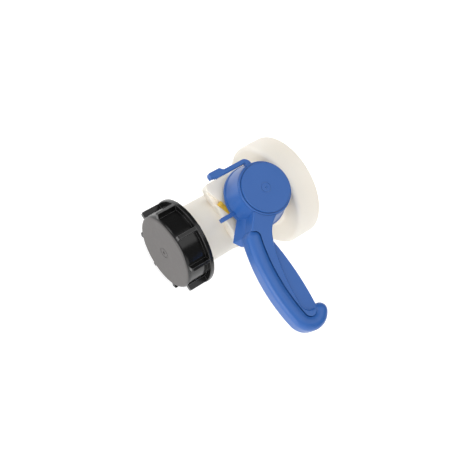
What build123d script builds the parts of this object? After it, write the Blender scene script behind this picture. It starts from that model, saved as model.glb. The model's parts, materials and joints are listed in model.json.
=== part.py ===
from build123d import *
import math
import os

# A hand-turned flap valve for a bulk liquid tank, with a pipe bore of 48 mm.
# The pipe axis lies along Y and the outlet faces -Y. The spindle axis is vertical, along +Z.
# The origin is on the pipe axis at the mouth of the inlet collar. At rest the valve is shut,
# its lever points along +X, its cap is screwed on and its safety peg is in place.
# All sizes are in millimetres.

# Flow way and barrel
FLOW_RADIUS = 24.0
NECK_WALL = 3.2
BARREL_WALL = 4.0
SPINDLE_TO_INLET = 55.0
SPINDLE_TO_OUTLET = 78.2
BARREL_FRONT = 20.0
SHOULDER_LENGTH = 3.0
SPIGOT_EDGE_ROUND = 0.8

# Inlet collar, with the socket that is welded over the tank's stub and the ribbed room behind it
COLLAR_RADIUS = 48.6
COLLAR_LENGTH = 25.5
COLLAR_FRONT_ROUND = 4.0
COLLAR_BACK_ROUND = 2.5
SOCKET_WALL = 4.3
SOCKET_DEPTH = 13.0
SOCKET_STEP = 1.6
TAIL_LENGTH = 8.0
COLLAR_RIB_COUNT = 12
COLLAR_RIB_THICKNESS = 2.4

# Outlet thread, a coarse saw-tooth thread 60 mm across with one turn every 6 mm
THREAD_PITCH = 6.0
THREAD_HEIGHT = 2.65
THREAD_ROOT_WIDTH = 3.2
THREAD_CREST_WIDTH = 1.5
THREAD_FLANK_SET = 0.2
THREAD_TURNS = 3.0
THREAD_END_GAP = 3.6
THREAD_SINK = 0.4

# Plate under the hub, which carries the safety peg
PLATE_RISE = 6.0
PLATE_THICKNESS = 9.0
PLATE_FRONT = 34.0
PLATE_BACK = 20.0
PLATE_LATCH_SIDE = 30.0
PLATE_LEVER_SIDE = 22.0
PLATE_CORNER = 4.0
PLATE_EDGE_ROUND = 1.2
GUSSET_THICKNESS = 4.0
GUSSET_DEPTH = 20.0
GUSSET_SINK = 1.0

# Bonnet, the boss that the spindle turns in, and the foot boss below the flow way
BONNET_RADIUS = 16.0
BONNET_RISE = 7.5
BORE_RADIUS = 10.5
BORE_FLOOR_WALL = 3.0
FOOT_BOSS_RADIUS = 11.0
FOOT_BOSS_FLOOR = 3.0
FOOT_BOSS_ROUND = 1.5
FOOT_BORE_RADIUS = 6.5
FOOT_BORE_LENGTH = 9.0

# Clearances between pieces that move on each other
RUNNING_GAP = 0.06
SEAL_GAP = 0.08
LOOSE_GAP = 0.3

# Spindle
LAND_RADIUS = BORE_RADIUS - SEAL_GAP
LAND_LENGTH = 7.0
JOURNAL_RADIUS = 8.0
DRIVE_WIDTH = 11.0
DRIVE_LENGTH = 9.5
DRIVE_ROOT = 1.0
FLAP_SQUARE = 10.0
FLAP_SQUARE_SHORT = 1.6
FOOT_RADIUS = 5.0
FOOT_END_GAP = 0.5
SCREW_HOLE_RADIUS = 2.6
SCREW_HOLE_DEPTH = 16.0

# Rings, washers and bushes on the spindle
RING_SECTION = 1.0
RING_SPACING = 3.2
RING_GROOVE_EXTRA = 1.0
THRUST_WASHER_THICKNESS = 0.8
BUSH_LENGTH = 4.6
CLIP_THICKNESS = 1.0
CLIP_GROOVE_DEPTH = 0.8
CLIP_OPENING = 70.0
CLIP_WIDTH = 2.0
FOOT_RING_BELOW_FLOW = 1.9
FOOT_BUSH_LENGTH = 6.0

# Flap
FLAP_EDGE_GAP = 1.4
FLAP_THICKNESS = 4.6
FLAP_EDGE_ROUND = 0.6
FLAP_HUB_RADIUS = 9.0
FLAP_HUB_SHORT = 4.0
FLAP_RIB_THICKNESS = 3.0
FLAP_RIB_SHORT = 6.0
FLAP_RIB_SPACING = 16.0
FLAP_RIB_SINK = 1.0
SEAL_WIDTH = 3.0
SEAL_GROOVE_DEPTH = 2.2
EYELET_RADIUS = 8.6

# Handle hub
HUB_LIFT = 4.0
HUB_HEIGHT = 21.3
HUB_BOTTOM_RADIUS = 28.3
HUB_TOP_RADIUS = 24.2
HUB_WALL = 3.0
HUB_ROOF = 3.5
HUB_RIM_HEIGHT = 2.6
HUB_RIM_OUT = 0.5
SOCKET_BOSS_RADIUS = 10.5
SOCKET_BOSS_GAP = 0.5
DRIVE_CLEARANCE = 0.1
SCREW_SEAT_WALL = 1.5
SCREW_WELL_RADIUS = 8.0
SCREW_HOLE_CLEARANCE = 0.4
HUB_RIB_COUNT = 6
HUB_RIB_THICKNESS = 2.2
HUB_RIB_DEPTH = 5.8
HUB_RIB_SINK = 1.0

# Cover over the hub's screw
COVER_RADIUS = 23.9
COVER_THICKNESS = 3.0
COVER_BORDER_WIDTH = 1.9
COVER_BORDER_DROP = 1.3
COVER_EDGE_ROUND = 0.7
COVER_FACE_ROUND = 0.4
COVER_SEAM_WIDTH = 0.5
COVER_SEAM_DEPTH = 0.6
COVER_GAP = 0.25
COVER_SPIGOT_GAP = 0.15
COVER_SPIGOT_DEPTH = 1.2
COVER_MARK_RADIUS = 1.5
COVER_RING_RADIUS = 4.6
COVER_RING_WIDTH = 0.5
COVER_MARK_DEPTH = 0.3

# Screw and washer that hold the handle
SCREW_SHANK_RADIUS = 2.5
SCREW_TIP_CHAMFER = 0.8
SCREW_LENGTH = 14.0
SCREW_HEAD_RADIUS = 5.0
SCREW_HEAD_HEIGHT = 3.4
SCREW_HEAD_ROUND = 0.6
SCREW_RECESS_SIDES = 6
SCREW_RECESS_WIDTH = 4.0
SCREW_RECESS_DEPTH = 2.0
WASHER_RADIUS = 7.0
WASHER_THICKNESS = 1.2

# Neck block between hub and lever, in plan as (distance towards the outlet, distance to the side)
NECK_RISE = 1.2
NECK_SIDE_WALL = 3.2
NECK_ROOF = 3.6
NECK_WAIST_RISE = 8.5
NECK_EDGE_ROUND = 1.4
NECK_SKIRT_CORNERS = [(18.0, 42.0), (37.0, 31.0), (41.3, 24.7), (17.0, -1.0), (-3.0, 0.0), (-3.0, 26.5)]
NECK_SKIRT_HOLLOW = (9.0, 32.2)
NECK_WAIST_CORNERS = [(19.0, 41.2), (32.6, 36.0), (34.6, 26.6), (13.2, 2.4), (1.4, 1.4), (1.4, 24.4)]
NECK_WAIST_HOLLOW = (12.0, 31.0)
NECK_TOP_CORNERS = [(19.2, 40.9), (31.5, 36.0), (33.1, 26.7), (12.4, 2.8), (2.4, 2.0), (2.4, 23.5)]
NECK_TOP_HOLLOW = (12.8, 30.4)

# Lever: the rolled grip along its front edge, its hooked end, and the web behind the roll
GRIP_WIDTH = 13.0
GRIP_ROUND = 6.0
GRIP_HEIGHT = 19.2
GRIP_RISE = 0.7
GRIP_START = (31.8, 31.0)
GRIP_MIDDLE = (38.4, 70.0)
GRIP_END = (35.2, 106.4)
HOOK_RADIUS = 11.0
HOOK_TURN = 138.0
GRIP_POCKET_WIDTH = 6.0
GRIP_POCKET_DEPTH = 13.0
CREASE_WIDTH = 0.9
CREASE_DEPTH = 1.0
WEB_THICKNESS = 5.0
WEB_REAR = [(19.1, 40.0), (15.7, 74.0), (16.7, 104.0)]
WEB_SAG = 1.0
SCOOP_DEPTH = 1.3
SCOOP_TAPER = 40.0
SCOOP_EDGE = [(18.5, 40.5), (26.8, 72.0), (28.6, 94.0)]
SCOOP_END = [(27.6, 101.5), (22.0, 105.0)]
SCOOP_OPEN_SIDE = 8.0
REAR_WALL = 3.0
REAR_WALL_DEPTH = 9.0
GRIP_RIB_COUNT = 5
GRIP_RIB_THICKNESS = 2.4
GRIP_RIB_DEPTH = 6.5
GRIP_RIB_SINK = 1.0

# Latch tongue beside the hub, a leaf that the thumb bends
TONGUE_RISE = 0.7
TONGUE_HEIGHT = 5.4
TONGUE_HUB_GAP = 2.4
TONGUE_THICKNESS = 3.8
TONGUE_PAD_START = 23.5
TONGUE_PAD_OUT = 2.8
TONGUE_PAD_CORNER = 1.5
TONGUE_PAD_BEND = 3.0
TONGUE_TIP = 38.0
TONGUE_NOSE = 7.0
TONGUE_ROOT_BACK = 2.0
TONGUE_ROOT_FRONT = 3.0
TONGUE_ROOT_SINK = 1.0
TONGUE_EDGE_ROUND = 0.7
TOOTH_DEPTH = 4.0
TOOTH_LENGTH = 6.0
TOOTH_SETBACK = 2.0
GRIP_BUMP_COUNT = 4
GRIP_BUMP_RADIUS = 0.6

# Stop tab on the hub and the safety peg beside it
TAB_REACH = 41.6
TAB_SIDE = 4.0
TAB_THICKNESS = 3.6
TAB_LIFT = 0.6
TAB_HEIGHT = 4.0
TAB_END_ROUND = 0.7
PEG_WIDTH = 4.2
PEG_HEIGHT = 3.2
PEG_SINK = 2.6
PEG_ANGLE = 22.0
PEG_HEAD_PLACE = (31.0, -10.8)
PEG_LENGTH = 15.0
PEG_HEAD_LENGTH = 3.4
PEG_HEAD_RISE = 1.4
PEG_HEAD_ROUND = 0.6
PEG_GAP = 0.15
SLOT_OVERCUT = 1.0

# Outlet cap
CAP_GASKET_THICKNESS = 2.0
GASKET_HOLE_SHORT = 4.0
CAP_ROOF = 3.0
CAP_LENGTH = 23.6
CAP_WALL = 4.3
CAP_FACE_ROUND = 3.2
CAP_BORE_GAP = 0.45
CAP_FLANGE_OUT = 5.4
CAP_FLANGE_THICKNESS = 4.0
CAP_FLANGE_ROUND = 1.0
CAP_RIB_COUNT = 8
CAP_RIB_THICKNESS = 3.2
CAP_RIB_OUT = 5.0
CAP_RIB_ROUND = 1.5
CAP_RIB_SINK = 2.0
CAP_RIB_TURN = 2.0
CAP_RIB_SETBACK = 1.6
CAP_THREAD_TURNS = 1.8
CAP_THREAD_LAG = 1.5
CAP_THREAD_ROOT_WIDTH = 3.0
CAP_THREAD_CREST_WIDTH = 1.4
CAP_THREAD_CREST_GAP = 0.55
CAP_MARK_RADIUS = 1.5
CAP_RING_RADIUS = 5.0
CAP_RING_WIDTH = 0.6
CAP_MARK_DEPTH = 0.4

# Places worked out from the sizes above
SPINDLE_Y = -SPINDLE_TO_INLET
BARREL_RADIUS = FLOW_RADIUS + BARREL_WALL
NECK_RADIUS = FLOW_RADIUS + NECK_WALL
COLLAR_FRONT = COLLAR_LENGTH - SPINDLE_TO_INLET
SOCKET_RADIUS = COLLAR_RADIUS - SOCKET_WALL
SOCKET_FLOOR = SOCKET_DEPTH - SPINDLE_TO_INLET
TAIL_END = SOCKET_FLOOR + TAIL_LENGTH
THREAD_CREST_RADIUS = NECK_RADIUS + THREAD_HEIGHT
THREAD_START = SPINDLE_TO_OUTLET - THREAD_END_GAP - THREAD_PITCH * THREAD_TURNS
CAP_THREAD_START = THREAD_START + CAP_THREAD_LAG * THREAD_PITCH
CAP_BORE_RADIUS = THREAD_CREST_RADIUS + CAP_BORE_GAP
CAP_RADIUS = CAP_BORE_RADIUS + CAP_WALL
CAP_ROOF_PLACE = SPINDLE_TO_OUTLET + CAP_GASKET_THICKNESS
CAP_FACE = CAP_ROOF_PLACE + CAP_ROOF
CAP_BACK = CAP_FACE - CAP_LENGTH
PLATE_TOP = BARREL_RADIUS + PLATE_RISE
BONNET_TOP = PLATE_TOP + BONNET_RISE
BORE_FLOOR = FLOW_RADIUS + BORE_FLOOR_WALL
SPINDLE_LAND_BOTTOM = BORE_FLOOR + THRUST_WASHER_THICKNESS
SPINDLE_LAND_TOP = SPINDLE_LAND_BOTTOM + LAND_LENGTH
BUSH_BOTTOM = SPINDLE_LAND_TOP + LOOSE_GAP
BUSH_TOP = BUSH_BOTTOM + BUSH_LENGTH
FOOT_BORE_DEPTH = FLOW_RADIUS + FOOT_BORE_LENGTH
HUB_BOTTOM = PLATE_TOP + HUB_LIFT
HUB_TOP = HUB_BOTTOM + HUB_HEIGHT
NECK_TOP = HUB_TOP + NECK_RISE
NECK_WAIST = HUB_BOTTOM + NECK_WAIST_RISE
GRIP_TOP = NECK_TOP + GRIP_RISE
SOCKET_BOSS_BOTTOM = BONNET_TOP + SOCKET_BOSS_GAP
DRIVE_TOP = SOCKET_BOSS_BOTTOM + DRIVE_LENGTH
SCREW_SEAT = DRIVE_TOP + SCREW_SEAT_WALL
SCREW_HEAD_PLACE = SCREW_SEAT + WASHER_THICKNESS
COVER_TOP = HUB_TOP + COVER_THICKNESS
TONGUE_TOP = HUB_TOP + TONGUE_RISE
TONGUE_BOTTOM = TONGUE_TOP - TONGUE_HEIGHT
TONGUE_INNER = HUB_TOP_RADIUS + TONGUE_HUB_GAP
TAB_BOTTOM = HUB_BOTTOM + TAB_LIFT
FLAP_RADIUS = FLOW_RADIUS - FLAP_EDGE_GAP
FLAP_HUB_REACH = FLOW_RADIUS - FLAP_HUB_SHORT
SEAL_RADIUS = FLOW_RADIUS - SEAL_GAP

# The pipe's own plane: local z runs from the spindle towards the outlet, local y is up.
PIPE = Plane(origin=(0, SPINDLE_Y, 0), x_dir=(1, 0, 0), z_dir=(0, -1, 0))
HUB = Pos(0, SPINDLE_Y, 0)


def outward(distance, side):
    """A point in plan: how far it is from the spindle towards the outlet, and to the lever's side."""
    return (side, -distance)


def turned(points, radii):
    """A solid of revolution about local z, from (radius, height) corners and their rounding."""
    outline = FilletPolyline(*points, radius=radii, close=True)
    return revolve(Plane.XZ * make_face(outline), Axis.Z)


def tube(outer, inner, low, high):
    """A plain ring about local z."""
    return turned([(inner, low), (outer, low), (outer, high), (inner, high)], 0)


def rod(radius, low, high):
    """A plain cylinder about local z."""
    return Pos(0, 0, low) * Cylinder(radius, high - low, align=(Align.CENTER, Align.CENTER, Align.MIN))


def prism(face, low, high):
    """A plan outline raised from one height to another."""
    return extrude(Pos(0, 0, low) * face, high - low)


def bar(start, end, width, low, high):
    """An upright wall between two plan points."""
    run = Vector(*end) - Vector(*start)
    angle = math.degrees(math.atan2(run.Y, run.X))
    middle = (Vector(*start) + Vector(*end)) / 2
    block = Box(run.length, width, high - low, align=(Align.CENTER, Align.CENTER, Align.MIN))
    return Pos(middle.X, middle.Y, low) * Rot(0, 0, angle) * block


def saw_tooth(root_radius, crest_radius, root_width, crest_width, flank_set, start, turns):
    """A helical ridge about local z; crest_radius may lie inside root_radius, for a nut's thread."""
    half = root_width / 2
    out = 1 if crest_radius > root_radius else -1
    near = out * (flank_set - half)
    far = near + out * crest_width
    tooth = Polyline(
        (root_radius, 0, -half), (crest_radius, 0, min(near, far)), (crest_radius, 0, max(near, far)),
        (root_radius, 0, half), close=True,
    )
    path = Helix(THREAD_PITCH, THREAD_PITCH * turns, root_radius)
    ridge = sweep(make_face(tooth), path=path, is_frenet=True)
    return Pos(0, 0, start) * ridge


def peg_place():
    """Where the peg's head stands in plan, and the way its bar runs from there."""
    return Pos(*outward(*PEG_HEAD_PLACE), 0) * Rot(0, 0, PEG_ANGLE)


def make_safety_peg():
    """A flat peg in the plate's slot, with a raised head to pull it by."""
    side = Align.MIN, Align.CENTER, Align.MIN
    peg = Box(PEG_LENGTH, PEG_WIDTH, PEG_HEIGHT, align=side)
    peg += Box(PEG_HEAD_LENGTH, PEG_WIDTH, PEG_HEIGHT + PEG_HEAD_RISE, align=side)
    peg = fillet(peg.edges().group_by(Axis.Z)[-1] + peg.edges().group_by(Axis.X)[0], PEG_HEAD_ROUND)
    return HUB * peg_place() * Pos(0, 0, PLATE_TOP - PEG_SINK) * peg


def peg_slot():
    """The slot that the peg lies in, open at the top and towards the latch side."""
    width = PEG_WIDTH + 2 * PEG_GAP
    length = PEG_LENGTH + PEG_GAP + PLATE_LATCH_SIDE
    slot = Box(length, width, PEG_SINK + SLOT_OVERCUT, align=(Align.MIN, Align.CENTER, Align.MIN))
    return peg_place() * Pos(-PLATE_LATCH_SIDE, 0, PLATE_TOP - PEG_SINK) * slot


def make_plate():
    """The plate between barrel and hub, with the gussets under its overhang."""
    corners = [
        outward(PLATE_FRONT, -PLATE_LATCH_SIDE), outward(PLATE_FRONT, PLATE_LEVER_SIDE),
        outward(-PLATE_BACK, PLATE_LEVER_SIDE), outward(-PLATE_BACK, -PLATE_LATCH_SIDE),
    ]
    face = make_face(FilletPolyline(*corners, radius=PLATE_CORNER, close=True))
    bottom = PLATE_TOP - PLATE_THICKNESS
    plate = prism(face, bottom, PLATE_TOP)
    plate = fillet(plate.edges().group_by(Axis.Z)[-1], PLATE_EDGE_ROUND)
    middle = (PLATE_FRONT - PLATE_BACK) / 2
    reach = (PLATE_FRONT + PLATE_BACK) / 2 - 2 * PLATE_CORNER
    edge = PLATE_CORNER - PLATE_LATCH_SIDE
    outline = Polyline(
        (0, bottom + GUSSET_SINK), (edge, bottom + GUSSET_SINK), (edge, bottom),
        (-FLOW_RADIUS, bottom - GUSSET_DEPTH),
        (0, bottom - GUSSET_DEPTH), close=True,
    )
    gusset = extrude(Plane.XZ * make_face(outline), GUSSET_THICKNESS / 2, both=True)
    for place in (middle - reach, middle, middle + reach):
        plate += Pos(0, -place, 0) * gusset
    return plate


def make_valve_body():
    """Spigot, barrel, inlet collar, plate and bonnet, moulded in one."""
    back = -SPINDLE_TO_INLET
    body = turned(
        [
            (0, back), (COLLAR_RADIUS, back), (COLLAR_RADIUS, COLLAR_FRONT), (BARREL_RADIUS, COLLAR_FRONT),
            (BARREL_RADIUS, BARREL_FRONT), (NECK_RADIUS, BARREL_FRONT + SHOULDER_LENGTH),
            (NECK_RADIUS, SPINDLE_TO_OUTLET), (0, SPINDLE_TO_OUTLET),
        ],
        [0, COLLAR_BACK_ROUND, COLLAR_FRONT_ROUND, COLLAR_BACK_ROUND, 0, 0, SPIGOT_EDGE_ROUND, 0],
    )
    body += saw_tooth(
        NECK_RADIUS - THREAD_SINK, THREAD_CREST_RADIUS, THREAD_ROOT_WIDTH, THREAD_CREST_WIDTH,
        THREAD_FLANK_SET, THREAD_START, THREAD_TURNS,
    )
    body -= rod(SOCKET_RADIUS, back, SOCKET_FLOOR)
    body -= tube(SOCKET_RADIUS - SOCKET_STEP, BARREL_RADIUS, SOCKET_FLOOR, TAIL_END)
    rib = bar(
        (BARREL_RADIUS - SOCKET_STEP, 0), (SOCKET_RADIUS - SOCKET_STEP / 2, 0), COLLAR_RIB_THICKNESS,
        SOCKET_FLOOR, TAIL_END,
    )
    body += [Rot(0, 0, turn * 360 / COLLAR_RIB_COUNT) * rib for turn in range(COLLAR_RIB_COUNT)]
    body = PIPE * body
    body += HUB * make_plate()
    body += HUB * rod(BONNET_RADIUS, 0, BONNET_TOP)
    depth = FOOT_BORE_DEPTH + FOOT_BOSS_FLOOR
    foot_corners = [(0, -depth), (FOOT_BOSS_RADIUS, -depth), (FOOT_BOSS_RADIUS, 0), (0, 0)]
    body += HUB * turned(foot_corners, [0, FOOT_BOSS_ROUND, 0, 0])
    body -= PIPE * rod(FLOW_RADIUS, back, SPINDLE_TO_OUTLET)
    body -= HUB * rod(BORE_RADIUS, BORE_FLOOR, BONNET_TOP)
    body -= HUB * rod(JOURNAL_RADIUS + LOOSE_GAP, 0, BORE_FLOOR)
    body -= HUB * rod(BORE_RADIUS + CLIP_GROOVE_DEPTH, BUSH_TOP, BUSH_TOP + CLIP_THICKNESS)
    body -= HUB * rod(FOOT_BORE_RADIUS, -FOOT_BORE_DEPTH, 0)
    return body - HUB * peg_slot()


def square_bar(width, low, high):
    """An upright square bar on the spindle's axis."""
    return Pos(0, 0, low) * Box(width, width, high - low, align=(Align.CENTER, Align.CENTER, Align.MIN))


def o_ring(radius, section, place):
    """A round-section ring about local z, from the radius of its middle circle."""
    return Pos(0, 0, place) * Torus(radius, section)


def ring_places():
    """Heights of the two rings in the spindle's land."""
    middle = (SPINDLE_LAND_BOTTOM + SPINDLE_LAND_TOP) / 2
    return (middle - RING_SPACING / 2, middle + RING_SPACING / 2)


def make_spindle():
    """Foot journal, square for the flap, sealing land, journal and drive square, in one piece."""
    spindle = rod(FOOT_RADIUS, FOOT_END_GAP - FOOT_BORE_DEPTH, 0)
    spindle += square_bar(FLAP_SQUARE, FLAP_SQUARE_SHORT - FLOW_RADIUS, BORE_FLOOR)
    spindle += rod(JOURNAL_RADIUS, FLOW_RADIUS + LOOSE_GAP, SOCKET_BOSS_BOTTOM)
    spindle += rod(LAND_RADIUS, SPINDLE_LAND_BOTTOM, SPINDLE_LAND_TOP)
    spindle += square_bar(DRIVE_WIDTH, SOCKET_BOSS_BOTTOM - DRIVE_ROOT, DRIVE_TOP)
    for place in ring_places():
        floor = LAND_RADIUS - 2 * RING_SECTION
        half = RING_SECTION + SEAL_GAP
        spindle -= tube(LAND_RADIUS + RING_GROOVE_EXTRA, floor, place - half, place + half)
    return HUB * (spindle - rod(SCREW_HOLE_RADIUS, DRIVE_TOP - SCREW_HOLE_DEPTH, DRIVE_TOP))


def make_spindle_rings():
    """The lower and upper sealing rings in the spindle's land."""
    middle_circle = BORE_RADIUS - RUNNING_GAP - RING_SECTION
    return [HUB * o_ring(middle_circle, RING_SECTION, place) for place in ring_places()]


def make_thrust_washer():
    """A thin washer between the floor of the bonnet's bore and the spindle's land."""
    return HUB * tube(LAND_RADIUS, JOURNAL_RADIUS + LOOSE_GAP, BORE_FLOOR, SPINDLE_LAND_BOTTOM)


def make_spindle_bush():
    """The bearing sleeve that closes the bonnet's bore over the spindle's land."""
    return HUB * tube(BORE_RADIUS, JOURNAL_RADIUS + RUNNING_GAP, BUSH_BOTTOM, BUSH_TOP)


def make_retaining_clip():
    """A spring clip, open on one side, snapped into the groove over the bush."""
    outer = BORE_RADIUS + CLIP_GROOVE_DEPTH
    inner = outer - CLIP_WIDTH
    clip = tube(outer, inner, BUSH_TOP, BUSH_TOP + CLIP_THICKNESS)
    half = math.radians(CLIP_OPENING / 2)
    reach = 2 * outer
    wedge = make_face(Polyline(
        (0, 0), (reach * math.cos(half), reach * math.sin(half)),
        (reach * math.cos(half), -reach * math.sin(half)), close=True,
    ))
    return HUB * (clip - prism(wedge, BUSH_TOP, BUSH_TOP + CLIP_THICKNESS))


def make_foot_ring():
    """The ring that seals the spindle's foot."""
    middle_circle = (FOOT_RADIUS + FOOT_BORE_RADIUS) / 2
    section = (FOOT_BORE_RADIUS - FOOT_RADIUS) / 2 - RUNNING_GAP
    return HUB * o_ring(middle_circle, section, -FLOW_RADIUS - FOOT_RING_BELOW_FLOW)


def make_foot_bush():
    """The bearing sleeve at the foot of the spindle."""
    return HUB * tube(
        FOOT_BORE_RADIUS, FOOT_RADIUS + RUNNING_GAP, -FOOT_BORE_DEPTH, FOOT_BUSH_LENGTH - FOOT_BORE_DEPTH
    )


def make_flap_seal():
    """The rubber ring round the flap, with an eyelet at each end where the spindle passes."""
    outer = math.sqrt(SEAL_RADIUS ** 2 - (SEAL_WIDTH / 2) ** 2)
    inner = FLAP_RADIUS - SEAL_GROOVE_DEPTH
    ring = Rot(90, 0, 0) * tube(outer, inner, -SEAL_WIDTH / 2, SEAL_WIDTH / 2)
    upper_eyelet = rod(EYELET_RADIUS, FLAP_HUB_REACH, FLOW_RADIUS)
    lower_eyelet = rod(EYELET_RADIUS, -FLOW_RADIUS, -FLAP_HUB_REACH)
    seal = (ring + upper_eyelet + lower_eyelet) & Sphere(SEAL_RADIUS)
    passage = FLAP_SQUARE / math.sqrt(2) + DRIVE_CLEARANCE
    return HUB * (seal - rod(passage, -FLOW_RADIUS, FLOW_RADIUS))


def make_flap_disc(seal):
    """The flap: a ribbed round plate with the spindle's tube across it, cut out for its seal."""
    plate = Rot(90, 0, 0) * turned(
        [
            (0, -FLAP_THICKNESS / 2), (FLAP_RADIUS, -FLAP_THICKNESS / 2),
            (FLAP_RADIUS, FLAP_THICKNESS / 2), (0, FLAP_THICKNESS / 2),
        ],
        [0, FLAP_EDGE_ROUND, FLAP_EDGE_ROUND, 0],
    )
    flap = plate + rod(FLAP_HUB_RADIUS, -FLAP_HUB_REACH, FLAP_HUB_REACH)
    depth = FLAP_HUB_RADIUS - FLAP_RIB_SINK
    reach = FLOW_RADIUS - FLAP_RIB_SHORT
    for place in (-FLAP_RIB_SPACING / 2, FLAP_RIB_SPACING / 2):
        rib = Pos(0, 0, place) * Box(2 * reach, 2 * depth, FLAP_RIB_THICKNESS)
        flap += rib & Rot(90, 0, 0) * rod(reach, -depth, depth)
    flap &= Sphere(FLAP_RADIUS)
    flap -= square_bar(FLAP_SQUARE + 2 * DRIVE_CLEARANCE, -FLOW_RADIUS, FLOW_RADIUS)
    return HUB * flap - seal


def cone(bottom_radius, top_radius, low, high):
    """A solid cone frustum about local z."""
    return Pos(0, 0, low) * Cone(
        bottom_radius, top_radius, high - low, align=(Align.CENTER, Align.CENTER, Align.MIN)
    )


def neck_outline(corners, hollow):
    """The neck block's outline in plan: straight walls, with a hollow curve on the far side."""
    points = [outward(*corner) for corner in corners]
    curve = ThreePointArc(points[-1], outward(*hollow), points[0])
    return make_face([Polyline(*points), curve])


def nearest_edge(solid, place, height):
    """The edge whose middle lies closest to a plan place at a height."""
    return solid.edges().sort_by_distance((*outward(*place), height))[0]


def make_neck():
    """The block between hub and grip: upright walls that flare out into a skirt below a waist."""
    skirt = Pos(0, 0, HUB_BOTTOM) * neck_outline(NECK_SKIRT_CORNERS, NECK_SKIRT_HOLLOW)
    waist = Pos(0, 0, NECK_WAIST) * neck_outline(NECK_WAIST_CORNERS, NECK_WAIST_HOLLOW)
    top = Pos(0, 0, NECK_TOP) * neck_outline(NECK_TOP_CORNERS, NECK_TOP_HOLLOW)
    block = loft([waist, top])
    _, _, corner, hub_corner, *_ = NECK_TOP_CORNERS
    front = ((hub_corner[0] + corner[0]) / 2, (hub_corner[1] + corner[1]) / 2)
    edges = [nearest_edge(block, place, NECK_TOP) for place in (front, NECK_TOP_HOLLOW)]
    return loft([skirt, waist]) + fillet(edges, NECK_EDGE_ROUND)


def make_neck_room():
    """The room inside the neck block, open underneath."""
    outlines = [
        neck_outline(NECK_WAIST_CORNERS, NECK_WAIST_HOLLOW), neck_outline(NECK_TOP_CORNERS, NECK_TOP_HOLLOW),
    ]
    waist, top = [offset(outline, -NECK_SIDE_WALL, kind=Kind.INTERSECTION) for outline in outlines]
    return loft([Pos(0, 0, HUB_BOTTOM) * waist, Pos(0, 0, NECK_TOP - NECK_ROOF) * top])


def grip_path():
    """The line in plan that the rolled grip follows, and the hook at its end."""
    run = ThreePointArc(outward(*GRIP_START), outward(*GRIP_MIDDLE), outward(*GRIP_END))
    hook = JernArc(run @ 1, run % 1, HOOK_RADIUS, HOOK_TURN)
    return run, hook


def swept_arc(arc, profile, height):
    """A profile swept along a plan arc at a height; the profile's own x points up."""
    path = Pos(0, 0, height) * arc
    start = Plane(origin=path @ 0, x_dir=(0, 0, 1), z_dir=path % 0)
    return sweep(start * profile, path=path)


def make_grip(grow=0.0):
    """The thick rounded roll along the lever's front edge, closed by a dome at each end."""
    low, high = GRIP_TOP - GRIP_HEIGHT - grow, GRIP_TOP + grow
    reach, rounding = GRIP_WIDTH / 2 + grow, GRIP_ROUND + grow
    dome = turned([(0, low), (reach, low), (reach, high), (0, high)], [0, rounding, rounding, 0])
    run, hook = grip_path()
    profile = RectangleRounded(high - low, 2 * reach, rounding)
    grip = [swept_arc(arc, profile, (low + high) / 2) for arc in (run, hook)]
    for place, away in ((run @ 0, run % 0 * -1), (hook @ 1, hook % 1)):
        end = Plane(origin=place, z_dir=away)
        grip.append(split(Pos(place.X, place.Y, 0) * dome, bisect_by=end, keep=Keep.TOP))
    return grip[0] + grip[1:]


def make_crease():
    """The narrow groove round the roll, cut into the web's top before the roll goes in."""
    floor = Plane.XY.offset(NECK_TOP - WEB_SAG - CREASE_DEPTH)
    return split(make_grip(CREASE_WIDTH), bisect_by=floor, keep=Keep.TOP)


def web_rear_edge(shift):
    """The web's rear edge in plan, moved towards the grip by a distance."""
    return ThreePointArc(*[outward(distance + shift, side) for distance, side in WEB_REAR])


def make_web():
    """The sagging top of the lever behind the roll, with its long scoop and its rear wall."""
    rear = web_rear_edge(0)
    run, hook = grip_path()
    bottom = NECK_TOP - WEB_THICKNESS
    outline = [rear, run, hook, Line(run @ 0, rear @ 0), Line(hook @ 1, rear @ 1)]
    web = prism(make_face(outline), bottom, NECK_TOP)
    inner = web_rear_edge(REAR_WALL)
    wall = make_face([rear, Line(rear @ 1, inner @ 1), inner, Line(inner @ 0, rear @ 0)])
    web += prism(wall, bottom - REAR_WALL_DEPTH, bottom)
    start = WEB_REAR[0][1]
    half = (GRIP_END[1] + HOOK_RADIUS - start) / 2
    radius = (half ** 2 + WEB_SAG ** 2) / (2 * WEB_SAG)
    roller = Rot(90, 0, 0) * Cylinder(radius, 2 * GRIP_END[1])
    web -= Pos(start + half, 0, NECK_TOP - WEB_SAG + radius) * roller
    return web - make_scoop()


def make_scoop():
    """The long hollow in the web's top, open towards the rear, with sloping sides."""
    near, middle, far = [outward(*place) for place in SCOOP_EDGE]
    turn, end = [outward(*place) for place in SCOOP_END]
    open_far = outward(SCOOP_OPEN_SIDE, SCOOP_END[1][1])
    open_near = outward(SCOOP_OPEN_SIDE, SCOOP_EDGE[0][1])
    edge = ThreePointArc(near, middle, far)
    corner = ThreePointArc(far, turn, end)
    rest = Polyline(end, open_far, open_near, near)
    face = Pos(0, 0, NECK_TOP - WEB_SAG - SCOOP_DEPTH) * make_face([edge, corner, rest])
    return extrude(face, 2 * WEB_SAG + SCOOP_DEPTH, taper=-SCOOP_TAPER)


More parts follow.
